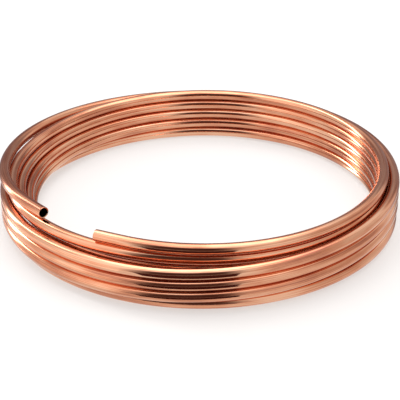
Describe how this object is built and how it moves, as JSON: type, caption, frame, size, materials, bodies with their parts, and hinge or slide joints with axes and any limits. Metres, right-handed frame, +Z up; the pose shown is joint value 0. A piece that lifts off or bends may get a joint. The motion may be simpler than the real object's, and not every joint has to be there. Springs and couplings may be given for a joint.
{
  "type": "copper tube coil",
  "caption": "Coil of soft copper tube wound in two layered columns round an open eye, with both tube ends open and free on top.",
  "frame": {"origin": "on the coil's axis, in the floor plane that the lowest turns lie on", "axes": "+Z up along the coil's axis, -Y towards the side that both open tube ends lie nearest, +X to the right seen from there"},
  "size_m": [0.366, 0.3661, 0.0575],
  "materials": {
    "copper": "bright drawn copper"
  },
  "bodies": {
    "root": {"copper_tube": "copper"}
  },
  "joints": []
}
